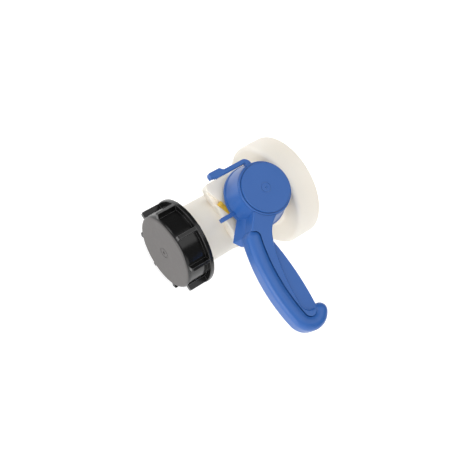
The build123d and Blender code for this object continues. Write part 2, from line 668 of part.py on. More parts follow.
def make_tongue():
    """The latch leaf beside the hub, with its thumb pad, grip bumps and tooth."""
    outer = TONGUE_INNER + TONGUE_THICKNESS
    pad = outer + TONGUE_PAD_OUT
    root = TONGUE_ROOT_SINK - HUB_TOP_RADIUS
    nose = TONGUE_TIP - TONGUE_NOSE
    tip_side = TONGUE_PAD_CORNER - outer
    corners = [
        outward(-TONGUE_ROOT_BACK, root), outward(-TONGUE_ROOT_BACK, -outer),
        outward(TONGUE_PAD_START, -outer), outward(TONGUE_PAD_START + TONGUE_PAD_OUT, -pad),
        outward(TONGUE_TIP, -pad),
        outward(TONGUE_TIP, tip_side), outward(nose, -TONGUE_INNER),
        outward(TONGUE_ROOT_FRONT, -TONGUE_INNER), outward(TONGUE_ROOT_FRONT, root),
    ]
    radii = [
        0, TONGUE_THICKNESS + TONGUE_HUB_GAP, TONGUE_PAD_BEND, TONGUE_PAD_CORNER, TONGUE_PAD_CORNER,
        TONGUE_PAD_CORNER, TONGUE_PAD_BEND, 0, 0,
    ]
    leaf = prism(make_face(FilletPolyline(*corners, radius=radii, close=True)), TONGUE_BOTTOM, TONGUE_TOP)
    leaf = fillet(leaf.edges().group_by(Axis.Z)[-1] + leaf.edges().group_by(Axis.Z)[0], TONGUE_EDGE_ROUND)
    middle = (TONGUE_BOTTOM + TONGUE_TOP) / 2
    setback = TONGUE_TIP - TOOTH_SETBACK
    leaf += bar(
        outward(setback - TOOTH_LENGTH, -outer), outward(setback, -outer), TONGUE_THICKNESS,
        TONGUE_BOTTOM - TOOTH_DEPTH, middle,
    )
    start = Vector(*outward(nose, -TONGUE_INNER))
    end = Vector(*outward(TONGUE_TIP, tip_side))
    bump = rod(GRIP_BUMP_RADIUS, TONGUE_BOTTOM + TONGUE_EDGE_ROUND, TONGUE_TOP - TONGUE_EDGE_ROUND)
    for number in range(GRIP_BUMP_COUNT):
        spot = start + (end - start) * (number + 0.5) / GRIP_BUMP_COUNT
        leaf += Pos(spot.X, spot.Y, 0) * bump
    return leaf


def make_lever_ribs():
    """Short cross ribs under the web, from the rear wall to the roll."""
    run = grip_path()[0]
    rear = web_rear_edge(REAR_WALL / 2)
    top = NECK_TOP - WEB_THICKNESS + GRIP_RIB_SINK
    ribs = []
    for number in range(GRIP_RIB_COUNT):
        share = (number + 1) / (GRIP_RIB_COUNT + 1)
        start = rear @ share
        end = (start.X, (run @ share).Y + GRIP_POCKET_WIDTH / 2 + GRIP_RIB_SINK)
        ribs.append(bar((start.X, start.Y), end, GRIP_RIB_THICKNESS, top - GRIP_RIB_DEPTH, top))
    return ribs


def make_tab():
    """The stop tab that stands out of the hub's skirt over the plate."""
    start = outward(HUB_BOTTOM_RADIUS - HUB_WALL, TAB_SIDE)
    tab = bar(start, outward(TAB_REACH, TAB_SIDE), TAB_THICKNESS, TAB_BOTTOM, TAB_BOTTOM + TAB_HEIGHT)
    ends = tab.edges().filter_by(Axis.Z).group_by(Axis.Y)[0]
    return fillet(ends, TAB_END_ROUND)


def make_handle():
    """Hub, lever, latch tongue and stop tab, moulded in one and open underneath."""
    hub = cone(HUB_BOTTOM_RADIUS, HUB_TOP_RADIUS, HUB_BOTTOM, HUB_TOP)
    rim = cone(
        HUB_BOTTOM_RADIUS + HUB_RIM_OUT, HUB_BOTTOM_RADIUS, HUB_BOTTOM, HUB_BOTTOM + HUB_RIM_HEIGHT
    )
    roof = HUB_TOP - HUB_ROOF
    cavity = cone(HUB_BOTTOM_RADIUS - HUB_WALL, HUB_TOP_RADIUS - HUB_WALL, HUB_BOTTOM, roof)
    room = make_neck_room() - hub
    grip_bottom = GRIP_TOP - GRIP_HEIGHT
    pocket_line = trace(grip_path()[0], GRIP_POCKET_WIDTH)
    pocket = prism(pocket_line, grip_bottom, grip_bottom + GRIP_POCKET_DEPTH)

    lever = make_neck() + make_web() - make_crease()
    handle = hub + rim + lever + make_grip() + make_tongue() + make_tab()
    handle -= cavity + room + pocket
    handle += make_lever_ribs()
    boss = rod(SOCKET_BOSS_RADIUS, SOCKET_BOSS_BOTTOM, roof)
    inner, outer = SOCKET_BOSS_RADIUS - HUB_RIB_SINK, HUB_TOP_RADIUS - HUB_WALL + HUB_RIB_SINK
    rib = bar((inner, 0), (outer, 0), HUB_RIB_THICKNESS, roof - HUB_RIB_DEPTH, roof)
    handle += boss + [Rot(0, 0, turn * 360 / HUB_RIB_COUNT) * rib for turn in range(HUB_RIB_COUNT)]
    handle -= rod(COVER_RADIUS + COVER_GAP, HUB_TOP, COVER_TOP)
    handle -= rod(SCREW_WELL_RADIUS, SCREW_SEAT, HUB_TOP)
    handle -= rod(SCREW_SHANK_RADIUS + SCREW_HOLE_CLEARANCE, SOCKET_BOSS_BOTTOM, SCREW_SEAT)
    handle -= square_bar(DRIVE_WIDTH + 2 * DRIVE_CLEARANCE, SOCKET_BOSS_BOTTOM, DRIVE_TOP + DRIVE_CLEARANCE)
    return HUB * handle


def make_hub_cover():
    """The round lid that hides the handle's screw, with a bare moulding mark in its middle."""
    low, spigot = HUB_TOP - COVER_SPIGOT_DEPTH, SCREW_WELL_RADIUS - COVER_SPIGOT_GAP
    face, border = COVER_RADIUS - COVER_BORDER_WIDTH, COVER_TOP - COVER_BORDER_DROP
    seam = border - COVER_SEAM_DEPTH
    cover = turned(
        [
            (0, low), (spigot, low), (spigot, HUB_TOP), (COVER_RADIUS, HUB_TOP), (COVER_RADIUS, border),
            (face + COVER_SEAM_WIDTH, border), (face + COVER_SEAM_WIDTH, seam), (face, seam),
            (face, COVER_TOP), (0, COVER_TOP),
        ],
        [0, 0, 0, 0, COVER_EDGE_ROUND, 0, 0, 0, COVER_FACE_ROUND, 0],
    )
    floor = COVER_TOP - COVER_MARK_DEPTH
    cover -= rod(COVER_MARK_RADIUS, floor, COVER_TOP)
    return HUB * (cover - tube(COVER_RING_RADIUS, COVER_RING_RADIUS - COVER_RING_WIDTH, floor, COVER_TOP))


def make_handle_washer():
    """The washer between the handle's seat and the screw's head."""
    hole = SCREW_SHANK_RADIUS + SCREW_HOLE_CLEARANCE
    return HUB * tube(WASHER_RADIUS, hole, SCREW_SEAT, SCREW_HEAD_PLACE)


def make_handle_screw():
    """A socket-head screw, whose thread is left plain."""
    tip, head = SCREW_HEAD_PLACE - SCREW_LENGTH, SCREW_HEAD_PLACE
    top = head + SCREW_HEAD_HEIGHT
    screw = turned(
        [
            (0, tip), (SCREW_SHANK_RADIUS, tip), (SCREW_SHANK_RADIUS, head),
            (SCREW_HEAD_RADIUS, head), (SCREW_HEAD_RADIUS, top), (0, top),
        ],
        [0, SCREW_TIP_CHAMFER, 0, 0, SCREW_HEAD_ROUND, 0],
    )
    hexagon = RegularPolygon(SCREW_RECESS_WIDTH / 2, SCREW_RECESS_SIDES, major_radius=False)
    recess = prism(hexagon, top - SCREW_RECESS_DEPTH, top)
    return HUB * (screw - recess)


def make_outlet_cap():
    """The screw cap: a round cup with a flange at its mouth, eight grip ribs and an inner thread."""
    cap = turned(
        [(0, CAP_BACK), (CAP_RADIUS, CAP_BACK), (CAP_RADIUS, CAP_FACE), (0, CAP_FACE)],
        [0, 0, CAP_FACE_ROUND, 0],
    )
    inner, rim, flange_front = CAP_BORE_RADIUS, CAP_RADIUS + CAP_FLANGE_OUT, CAP_BACK + CAP_FLANGE_THICKNESS
    cap += turned(
        [(inner, CAP_BACK), (rim, CAP_BACK), (rim, flange_front), (inner, flange_front)],
        [0, CAP_FLANGE_ROUND, CAP_FLANGE_ROUND, 0],
    )
    front, rib_radius = CAP_FACE - CAP_RIB_SETBACK, CAP_RADIUS + CAP_RIB_OUT
    envelope = turned(
        [(inner, CAP_BACK), (rib_radius, CAP_BACK), (rib_radius, front), (inner, front)],
        [0, 0, CAP_RIB_ROUND, 0],
    )
    rib = bar((CAP_RADIUS - CAP_RIB_SINK, 0), (rim, 0), CAP_RIB_THICKNESS, CAP_BACK, front)
    turns = [CAP_RIB_TURN + number * 360 / CAP_RIB_COUNT for number in range(CAP_RIB_COUNT)]
    ribs = [Rot(0, 0, turn) * rib & envelope for turn in turns]
    cap += ribs
    cap -= rod(CAP_BORE_RADIUS, CAP_BACK, CAP_ROOF_PLACE)
    floor = CAP_FACE - CAP_MARK_DEPTH
    cap -= rod(CAP_MARK_RADIUS, floor, CAP_FACE)
    cap -= tube(CAP_RING_RADIUS, CAP_RING_RADIUS - CAP_RING_WIDTH, floor, CAP_FACE)
    cap += saw_tooth(
        CAP_BORE_RADIUS + THREAD_SINK, NECK_RADIUS + CAP_THREAD_CREST_GAP, CAP_THREAD_ROOT_WIDTH,
        CAP_THREAD_CREST_WIDTH, THREAD_FLANK_SET, CAP_THREAD_START, CAP_THREAD_TURNS,
    )
    return PIPE * cap


def make_cap_gasket():
    """The flat ring that seals the cap on the spigot's end."""
    hole = FLOW_RADIUS - GASKET_HOLE_SHORT
    return PIPE * tube(CAP_BORE_RADIUS - CAP_BORE_GAP, hole, SPINDLE_TO_OUTLET, CAP_ROOF_PLACE)


def make_pieces():
    """Every piece of the valve by its name."""
    seal = make_flap_seal()
    lower_ring, upper_ring = make_spindle_rings()
    return {
        "valve_body": make_valve_body(),
        "flap_disc": make_flap_disc(seal),
        "flap_seal": seal,
        "spindle": make_spindle(),
        "lower_spindle_ring": lower_ring,
        "upper_spindle_ring": upper_ring,
        "thrust_washer": make_thrust_washer(),
        "spindle_bush": make_spindle_bush(),
        "retaining_clip": make_retaining_clip(),
        "foot_ring": make_foot_ring(),
        "foot_bush": make_foot_bush(),
        "handle": make_handle(),
        "handle_washer": make_handle_washer(),
        "handle_screw": make_handle_screw(),
        "hub_cover": make_hub_cover(),
        "safety_peg": make_safety_peg(),
        "outlet_cap": make_outlet_cap(),
        "cap_gasket": make_cap_gasket(),
    }


os.makedirs("parts", exist_ok=True)
for name, piece in make_pieces().items():
    export_step(piece, f"parts/{name}.step")
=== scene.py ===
"""Studio picture of a bulk tank's butterfly valve.

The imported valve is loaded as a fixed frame. Each sub-assembly gives its pieces their finish and adds
the fine marks that moulding leaves, and the whole stands on a pale floor in soft light.
"""

from __future__ import annotations

import json
import logging
import math
from dataclasses import dataclass
from enum import Enum

import bmesh
import bpy
from mathutils import Matrix, Vector

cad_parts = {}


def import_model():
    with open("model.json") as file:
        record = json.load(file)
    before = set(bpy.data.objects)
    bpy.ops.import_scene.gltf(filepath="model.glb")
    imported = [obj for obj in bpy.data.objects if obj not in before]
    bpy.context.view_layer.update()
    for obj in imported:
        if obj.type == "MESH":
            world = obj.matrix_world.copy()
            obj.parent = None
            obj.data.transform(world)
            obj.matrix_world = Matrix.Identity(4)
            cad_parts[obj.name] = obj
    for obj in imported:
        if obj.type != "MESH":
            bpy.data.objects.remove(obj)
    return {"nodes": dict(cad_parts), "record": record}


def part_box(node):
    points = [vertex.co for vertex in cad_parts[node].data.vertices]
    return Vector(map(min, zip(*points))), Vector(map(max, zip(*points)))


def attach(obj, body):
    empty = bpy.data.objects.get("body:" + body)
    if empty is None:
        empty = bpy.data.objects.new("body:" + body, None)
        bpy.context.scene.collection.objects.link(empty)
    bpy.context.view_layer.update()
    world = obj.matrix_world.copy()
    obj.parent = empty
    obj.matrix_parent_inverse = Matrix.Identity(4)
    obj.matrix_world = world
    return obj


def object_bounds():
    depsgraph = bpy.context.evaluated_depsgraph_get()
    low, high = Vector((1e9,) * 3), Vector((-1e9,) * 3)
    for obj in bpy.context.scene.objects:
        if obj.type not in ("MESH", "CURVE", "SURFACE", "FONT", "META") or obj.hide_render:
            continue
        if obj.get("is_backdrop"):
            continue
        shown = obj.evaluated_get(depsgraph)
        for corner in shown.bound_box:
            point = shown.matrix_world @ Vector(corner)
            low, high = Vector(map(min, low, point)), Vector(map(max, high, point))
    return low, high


LOG = logging.getLogger("butterfly_valve")

Colour = tuple[float, float, float]
Point = tuple[float, float, float]
Vertex = bmesh.types.BMVert
Socket = bpy.types.NodeSocket
# What a socket is filled with: another socket to link, a number, or three numbers.
Fill = Socket | float | Colour
WHITE: Colour = (1.0, 1.0, 1.0)


class Slot(Enum):
    """The record's material slots."""

    NATURAL = "natural_plastic"
    BLUE = "blue_plastic"
    BLACK = "black_plastic"
    YELLOW = "yellow_plastic"
    WHITE = "white_plastic"
    RUBBER = "black_rubber"
    GASKET = "gasket_rubber"
    STEEL = "steel"


class Group(Enum):
    """The shader groups that the finishes share."""

    GRAIN = "mould_grain"
    PATCHES = "slow_patches"
    EDGE = "painted_edge_highlight"
    CREVICE = "painted_crevice_shade"
    SCUFF = "fine_scuffs"
    RINGS = "turning_rings"


class Graph:
    """A node tree that is filled by short calls.

    A Mix node has a socket for every kind of value, so its sockets are taken by their places.
    """

    MIX_COLOR_INPUTS = (0, 6, 7)
    MIX_COLOR_RESULT = 2
    MIX_VALUE_INPUTS = (0, 2, 3)
    MIX_VALUE_RESULT = 0

    def __init__(self, tree: bpy.types.NodeTree) -> None:
        """Keeps the tree that the calls fill.

        Args:
            tree: a material's, a world's or a group's tree.
        """
        self.tree = tree

    def feed(self, socket: Socket, value: Fill) -> None:
        """Links a socket to another one, or sets its value.

        Args:
            socket: the input to fill.
            value: a socket to link, a number, a vector or a colour without alpha.
        """
        if isinstance(value, Socket):
            self.tree.links.new(value, socket)
        elif socket.type == "RGBA":
            socket.default_value = (*value, 1.0)
        else:
            socket.default_value = value

    def add(self, kind: str, inputs: dict[str, Fill] | None = None, **settings: object) -> bpy.types.Node:
        """Adds a node.

        Args:
            kind: the node's type name, without its ShaderNode prefix.
            inputs: what goes into its sockets, by their names.
            settings: the node's own properties.

        Returns:
            The new node.
        """
        node = self.tree.nodes.new(kind if kind.startswith("NodeGroup") else f"ShaderNode{kind}")
        for name, value in settings.items():
            setattr(node, name, value)
        for name, value in (inputs or {}).items():
            self.feed(node.inputs[name], value)
        return node

    def math(self, operation: str, *values: Socket | float) -> Socket:
        """Adds a Math node.

        Args:
            operation: what it works out.
            values: what goes into its sockets, in order.

        Returns:
            Its result.
        """
        node = self.add("Math", operation=operation)
        for socket, value in zip(node.inputs, values):
            self.feed(socket, value)
        return node.outputs["Value"]

    def vector(self, operation: str, *values: Socket | Point) -> bpy.types.Node:
        """Adds a Vector Math node.

        Args:
            operation: what it works out.
            values: what goes into its sockets, in order.

        Returns:
            The node, whose result is a vector or a number.
        """
        node = self.add("VectorMath", operation=operation)
        for socket, value in zip(node.inputs, values):
            self.feed(socket, value)
        return node

    def mix_color(self, amount: Socket | float, first: Socket | Colour, second: Socket | Colour) -> Socket:
        """Mixes two colours.

        Args:
            amount: how much of the second there is, from 0 to 1.
            first: the first colour.
            second: the second colour.

        Returns:
            The mixed colour.
        """
        node = self.add("Mix", data_type="RGBA")
        for place, value in zip(self.MIX_COLOR_INPUTS, (amount, first, second)):
            self.feed(node.inputs[place], value)
        return node.outputs[self.MIX_COLOR_RESULT]

    def mix_value(self, amount: Socket | float, first: Socket | float, second: Socket | float) -> Socket:
        """Mixes two numbers.

        Args:
            amount: how much of the second there is, from 0 to 1.
            first: the first number.
            second: the second number.

        Returns:
            The mixed number.
        """
        node = self.add("Mix", data_type="FLOAT")
        for place, value in zip(self.MIX_VALUE_INPUTS, (amount, first, second)):
            self.feed(node.inputs[place], value)
        return node.outputs[self.MIX_VALUE_RESULT]

    def ramp(self, value: Socket, low: float, high: float, start: float = 0.0, end: float = 1.0) -> Socket:
        """Adds a smooth step.

        Args:
            value: what the step reads.
            low: the value at which the step starts.
            high: the value at which it ends.
            start: the result before the step.
            end: the result after the step.

        Returns:
            The step's result.
        """
        inputs = {"Value": value, "From Min": low, "From Max": high, "To Min": start, "To Max": end}
        return self.add("MapRange", inputs, interpolation_type="SMOOTHSTEP").outputs["Result"]

    def noise(self, size: Socket | float, detail: float, curl: float = 0.0) -> Socket:
        """Adds noise in the object's own frame.

        Args:
            size: the size of its grains in metres.
            detail: how many finer layers it has.
            curl: how far it is bent out of shape.

        Returns:
            The noise, about 0.5 on average.
        """
        inputs = {"Vector": self.place(), "Scale": self.math("DIVIDE", 1.0, size)}
        inputs |= {"Detail": detail, "Distortion": curl}
        return self.add("TexNoise", inputs).outputs["Fac"]

    def place(self) -> Socket:
        """Adds the place on the object in its own frame.

        Returns:
            The place, in metres.
        """
        return self.add("TexCoord").outputs["Object"]


class ShaderGroups:
    """Builds each shared shader group once and places it in materials.

    The mask of an edge or a crevice is what it measures times its gain, held between 0 and 1, and a
    crevice counts from its start on. Scuffs and flat faces fade in between their start and their end.
    """

    NOISE_MEAN = 0.5
    GRAIN_DETAIL = 2.0
    WAVE_DETAIL = 1.0
    PATCH_DETAIL = 3.0
    EDGE_SAMPLES = 4
    EDGE_GAIN = 7.0
    CREVICE_SAMPLES = 8
    CREVICE_GAIN = 1.6
    CREVICE_START = 0.35
    SCUFF_CURL = 2.5
    SCUFF_START = 0.45
    SCUFF_END = 0.75
    FLAT_START = 0.90
    FLAT_END = 0.99

    def __init__(self) -> None:
        """Builds the groups."""
        self.trees = {
            Group.GRAIN: self.mould_grain(),
            Group.PATCHES: self.slow_patches(),
            Group.EDGE: self.painted_edge_highlight(),
            Group.CREVICE: self.painted_crevice_shade(),
            Group.SCUFF: self.fine_scuffs(),
            Group.RINGS: self.turning_rings(),
        }

    def place(self, graph: Graph, group: Group, inputs: dict[str, Fill]) -> bpy.types.Node:
        """Places a group in a graph.

        Args:
            graph: the material's graph.
            group: which group.
            inputs: what goes into its sockets, by their names.

        Returns:
            The group's node.
        """
        node = graph.tree.nodes.new("ShaderNodeGroup")
        node.node_tree = self.trees[group]
        for name, value in inputs.items():
            graph.feed(node.inputs[name], value)
        return node

    @staticmethod
    def start(
        group: Group, inputs: dict[str, str], outputs: dict[str, str]
    ) -> tuple[Graph, bpy.types.NodeOutputs, bpy.types.NodeInputs]:
        """Starts a group with named sockets.

        Args:
            group: which group.
            inputs: the socket type of each input by name.
            outputs: the socket type of each output by name.

        Returns:
            The group's graph, what it is given, and where its results go.
        """
        tree = bpy.data.node_groups.new(group.value, "ShaderNodeTree")
        for names, direction in ((inputs, "INPUT"), (outputs, "OUTPUT")):
            for name, kind in names.items():
                tree.interface.new_socket(name=name, in_out=direction, socket_type=f"NodeSocket{kind}")
        graph = Graph(tree)
        return graph, graph.add("NodeGroupInput").outputs, graph.add("NodeGroupOutput").inputs

    def mould_grain(self) -> bpy.types.NodeTree:
        """Fine grain of a spark-eroded mould, on the slow waves that shrinking leaves.

        Returns:
            The group's tree.
        """
        sizes = {"Grain Size": "Float", "Wave Size": "Float", "Wave Share": "Float"}
        graph, given, result = self.start(Group.GRAIN, sizes, {"Height": "Float"})
        grain = graph.noise(given["Grain Size"], self.GRAIN_DETAIL)
        wave = graph.noise(given["Wave Size"], self.WAVE_DETAIL)
        graph.feed(result["Height"], graph.mix_value(given["Wave Share"], grain, wave))
        return graph.tree

    def slow_patches(self) -> bpy.types.NodeTree:
        """Slow uneven tone of moulded plastic, in colour and in gloss.

        Returns:
            The group's tree.
        """
        inputs = {"Color": "Color", "Shade": "Color", "Amount": "Float", "Patch Size": "Float"}
        inputs |= {"Roughness": "Float", "Gloss Spread": "Float"}
        graph, given, result = self.start(Group.PATCHES, inputs, {"Color": "Color", "Roughness": "Float"})
        slow = graph.noise(given["Patch Size"], self.PATCH_DETAIL)
        amount = graph.math("MULTIPLY", slow, given["Amount"])
        graph.feed(result["Color"], graph.mix_color(amount, given["Color"], given["Shade"]))
        spread = graph.math("MULTIPLY", graph.math("SUBTRACT", slow, self.NOISE_MEAN), given["Gloss Spread"])
        graph.feed(result["Roughness"], graph.math("ADD", given["Roughness"], spread))
        return graph.tree

    def painted_edge_highlight(self) -> bpy.types.NodeTree:
        """A mask along outer edges, where a painted highlight pales them.

        Returns:
            The group's tree.
        """
        inputs = {"Width": "Float", "Breakup Size": "Float"}
        graph, given, result = self.start(Group.EDGE, inputs, {"Mask": "Float"})
        bevel = graph.add("Bevel", {"Radius": given["Width"]}, samples=self.EDGE_SAMPLES)
        facing = graph.add("NewGeometry").outputs["Normal"]
        along = graph.vector("DOT_PRODUCT", bevel.outputs["Normal"], facing).outputs["Value"]
        bend = graph.math("MULTIPLY", graph.math("SUBTRACT", 1.0, along), self.EDGE_GAIN)
        broken = graph.math("MULTIPLY", bend, graph.noise(given["Breakup Size"], self.GRAIN_DETAIL))
        graph.feed(result["Mask"], graph.add("Clamp", {"Value": broken}).outputs[0])
        return graph.tree

    def painted_crevice_shade(self) -> bpy.types.NodeTree:
        """A mask in seams and grooves, where light hardly reaches, for painted shade that darkens them.

        Returns:
            The group's tree.
        """
        graph, given, result = self.start(Group.CREVICE, {"Reach": "Float"}, {"Mask": "Float"})
        occlusion = graph.add("AmbientOcclusion", {"Distance": given["Reach"]}, samples=self.CREVICE_SAMPLES)
        hidden = graph.math("SUBTRACT", 1.0, occlusion.outputs["AO"])
        closed = graph.math("SUBTRACT", hidden, self.CREVICE_START)
        mask = graph.add("Clamp", {"Value": graph.math("MULTIPLY", closed, self.CREVICE_GAIN)})
        graph.feed(result["Mask"], mask.outputs[0])
        return graph.tree

    def fine_scuffs(self) -> bpy.types.NodeTree:
        """A mask of short rubbed marks that curl across a face.

        Returns:
            The group's tree.
        """
        inputs = {"Mark Size": "Float", "Amount": "Float"}
        graph, given, result = self.start(Group.SCUFF, inputs, {"Mask": "Float"})
        rubbed = graph.noise(given["Mark Size"], self.PATCH_DETAIL, self.SCUFF_CURL)
        marks = graph.ramp(rubbed, self.SCUFF_START, self.SCUFF_END)
        graph.feed(result["Mask"], graph.math("MULTIPLY", marks, given["Amount"]))
        return graph.tree

    def turning_rings(self) -> bpy.types.NodeTree:
        """The height of fine rings that turning left on the mould of a round flat face.

        Returns:
            The group's tree.
        """
        inputs = {"Centre": "Vector", "Axis": "Vector", "Pitch": "Float", "Reach": "Float"}
        graph, given, result = self.start(Group.RINGS, inputs, {"Height": "Float"})
        from_centre = graph.vector("SUBTRACT", graph.place(), given["Centre"]).outputs["Vector"]
        aside = graph.vector("CROSS_PRODUCT", from_centre, given["Axis"]).outputs["Vector"]
        radius = graph.vector("LENGTH", aside).outputs["Value"]
        turns = graph.math("MULTIPLY", graph.math("DIVIDE", radius, given["Pitch"]), math.tau)
        facing = graph.add("NewGeometry").outputs["Normal"]
        along = graph.vector("DOT_PRODUCT", facing, given["Axis"]).outputs["Value"]
        flat = graph.ramp(along, self.FLAT_START, self.FLAT_END)
        inside = graph.math("LESS_THAN", radius, given["Reach"])
        wave = graph.math("MULTIPLY", graph.math("SINE", turns), graph.math("MULTIPLY", flat, inside))
        graph.feed(result["Height"], wave)
        return graph.tree


@dataclass(frozen=True)
class Patches:
    """Slow uneven tone: how strong, how large in metres, and how far the gloss varies."""

    shade: Colour
    amount: float = 0.5
    size: float = 0.02
    gloss_spread: float = 0.08


@dataclass(frozen=True)
class Grain:
    """The surface that the mould leaves, with sizes and depth in metres."""

    size: float = 0.0005
    depth: float = 0.000012
    wave_size: float = 0.006
    wave_share: float = 0.3


@dataclass(frozen=True)
class Accent:
    """A painted highlight along edges or painted shade in crevices, with its width in metres and how strong
    it is.
    """

    color: Colour
    width: float
    amount: float = 1.0


@dataclass(frozen=True)
class Glow:
    """Light that soaks into a milky plastic: its share, depth in metres and spread by colour."""

    share: float = 0.0
    depth: float = 0.003
    spread: Colour = (1.0, 0.85, 0.7)


@dataclass(frozen=True)
class Turning:
    """Fine rings round an axis on a flat face, with lengths in metres."""

    centre: Point
    axis: Point
    reach: float
    pitch: float = 0.0014
    depth: float = 0.000005


@dataclass(frozen=True)
class Finish:
    """How one material looks. Colours are linear."""

    slot: Slot
    color: Colour
    roughness: float
    patches: Patches
    grain: Grain = Grain()
    # A painted highlight along edges and painted shade in crevices.
    edge: Accent | None = None
    crevice: Accent | None = None
    glow: Glow = Glow()
    turning: Turning | None = None
    metallic: float = 0.0
    specular: float = 0.5

    def build(self, groups: ShaderGroups) -> bpy.types.Material:
        """Makes the material.

        Args:
            groups: the shared shader groups.

        Returns:
            The new material, named after its slot.
        """
        material = bpy.data.materials.new(self.slot.value)
        material.use_nodes = True
        material.diffuse_color = (*self.color, 1.0)
        graph = Graph(material.node_tree)
        principled = material.node_tree.nodes["Principled BSDF"]
        principled.subsurface_method = "BURLEY"
        shader = principled.inputs
        color, roughness = self.toned(graph, groups)
        graph.feed(shader["Base Color"], color)
        graph.feed(shader["Roughness"], roughness)
        graph.feed(shader["Normal"], self.grained(graph, groups))
        graph.feed(shader["Metallic"], self.metallic)
        graph.feed(shader["Specular IOR Level"], self.specular)
        graph.feed(shader["Subsurface Weight"], self.glow.share)
        graph.feed(shader["Subsurface Scale"], self.glow.depth)
        graph.feed(shader["Subsurface Radius"], self.glow.spread)
        return material

    def toned(self, graph: Graph, groups: ShaderGroups) -> tuple[Socket, Socket]:
        """Mixes the colour and the roughness.

        Args:
            graph: the material's graph.
            groups: the shared shader groups.

        Returns:
            The colour's and the roughness's sockets.
        """
        patches = groups.place(graph, Group.PATCHES, {
            "Color": self.color,
            "Shade": self.patches.shade,
            "Amount": self.patches.amount,
            "Patch Size": self.patches.size,
            "Roughness": self.roughness,
            "Gloss Spread": self.patches.gloss_spread,
        })
        color = patches.outputs["Color"]
        # Painted highlight: outer edges are paled towards the edge colour.
        if self.edge is not None:
            inputs = {"Width": self.edge.width, "Breakup Size": self.grain.wave_size}
            mask = groups.place(graph, Group.EDGE, inputs).outputs["Mask"]
            share = graph.math("MULTIPLY", mask, self.edge.amount)
            color = graph.mix_color(share, color, self.edge.color)
        # Painted shade: seams and hollows are darkened towards the crevice colour.
        if self.crevice is not None:
            mask = groups.place(graph, Group.CREVICE, {"Reach": self.crevice.width}).outputs["Mask"]
            share = graph.math("MULTIPLY", mask, self.crevice.amount)
            color = graph.mix_color(share, color, self.crevice.color)
        return color, patches.outputs["Roughness"]

    def grained(self, graph: Graph, groups: ShaderGroups) -> Socket:
        """Makes the bump of the mould's grain and of any turning rings.

        Args:
            graph: the material's graph.
            groups: the shared shader groups.

        Returns:
            The normal's socket.
        """
        inputs = {"Grain Size": self.grain.size, "Wave Size": self.grain.wave_size}
        inputs["Wave Share"] = self.grain.wave_share
        height = groups.place(graph, Group.GRAIN, inputs).outputs["Height"]
        bump = graph.add("Bump", {"Height": height, "Distance": self.grain.depth, "Strength": 1.0})
        if self.turning is None:
            return bump.outputs["Normal"]
        inputs = {"Centre": self.turning.centre, "Axis": self.turning.axis}
        inputs |= {"Pitch": self.turning.pitch, "Reach": self.turning.reach}
        rings = {"Height": groups.place(graph, Group.RINGS, inputs).outputs["Height"]}
        rings |= {"Distance": self.turning.depth, "Strength": 1.0, "Normal": bump.outputs["Normal"]}
        return graph.add("Bump", rings).outputs["Normal"]


@dataclass(frozen=True)
class CapFinish(Finish):
    """Glossy black plastic whose flat end is matte, with a painted sheen of warm grey and rubbed marks."""

    face_place: float = 0.0
    face_depth: float = 0.0012
    # Painted sheen: the flat end's warm grey stands for the light that its matte face mirrors.
    face_sheen_color: Colour = (0.090, 0.083, 0.080)
    face_roughness: float = 0.5
    scuff_color: Colour = (0.14, 0.132, 0.128)
    scuff_size: float = 0.010
    scuff_amount: float = 0.2

    def toned(self, graph: Graph, groups: ShaderGroups) -> tuple[Socket, Socket]:
        """Pales the flat end with a painted sheen and rubbed marks, and dulls it.

        Args:
            graph: the material's graph.
            groups: the shared shader groups.

        Returns:
            The colour's and the roughness's sockets.
        """
        color, roughness = super().toned(graph, groups)
        along = graph.add("SeparateXYZ", {"Vector": graph.place()}).outputs["Y"]
        face = graph.ramp(along, self.face_place, self.face_place + self.face_depth, 1.0, 0.0)
        inputs = {"Mark Size": self.scuff_size, "Amount": self.scuff_amount}
        scuffs = groups.place(graph, Group.SCUFF, inputs).outputs["Mask"]
        # Painted sheen on the flat end, with real rubbed marks mixed over it.
        rubbed = graph.mix_color(scuffs, self.face_sheen_color, self.scuff_color)
        dulled = graph.mix_value(face, roughness, self.face_roughness)
        return graph.mix_color(face, color, rubbed), dulled


def face_turning(node: str, axis: Point) -> Turning:
    """The rings on a node's round face, about the middle of the node.

    Args:
        node: the node.
        axis: the way that its face looks.

    Returns:
        The rings.
    """
    low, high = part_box(node)
    return Turning(centre=tuple((low + high) / 2), axis=axis, reach=(high.x - low.x) / 2)


